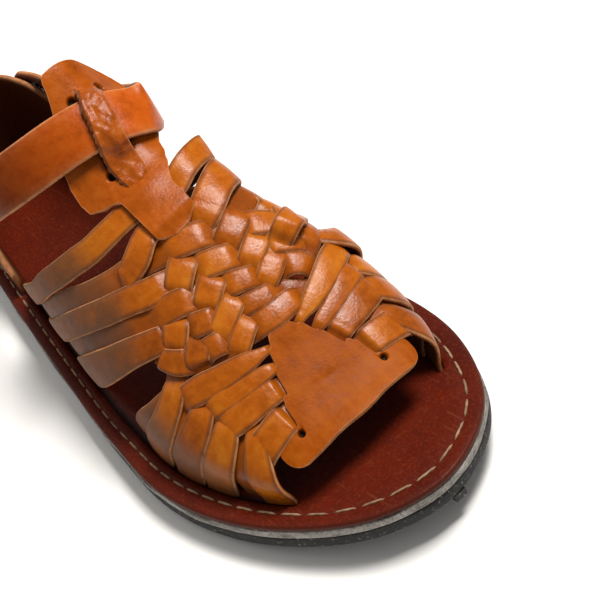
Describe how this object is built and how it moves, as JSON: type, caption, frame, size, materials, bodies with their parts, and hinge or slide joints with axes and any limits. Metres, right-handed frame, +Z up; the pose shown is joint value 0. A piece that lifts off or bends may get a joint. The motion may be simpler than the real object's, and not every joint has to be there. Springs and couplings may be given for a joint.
{
  "type": "woven huarache sandal",
  "caption": "Open-toe woven leather sandal for the right foot, with a strap through a looped tongue, a heel counter and a flat rubber sole.",
  "frame": {"origin": "bottom centre of the bounding box, on the floor the sandal stands on", "axes": "+X from the heel to the toe, +Y towards the medial (big toe) side, +Z up"},
  "size_m": [0.28, 0.1072, 0.1122],
  "materials": {
    "outsole": "matt, moulded",
    "midsole": "matt, cut and scuffed edge",
    "insole": "smooth, lightly polished by wear",
    "vamp": "vegetable-tanned strips, waxed",
    "toe_plate": "vegetable-tanned, waxed",
    "tongue": "vegetable-tanned, waxed",
    "ankle_strap": "vegetable-tanned, waxed",
    "heel_counter": "vegetable-tanned, waxed, dark flesh side inside"
  },
  "bodies": {
    "root": {"outsole": "outsole", "midsole": "midsole", "insole": "insole", "vamp": "vamp", "toe_plate": "toe_plate", "tongue": "tongue", "ankle_strap": "ankle_strap", "heel_counter": "heel_counter"}
  },
  "joints": []
}
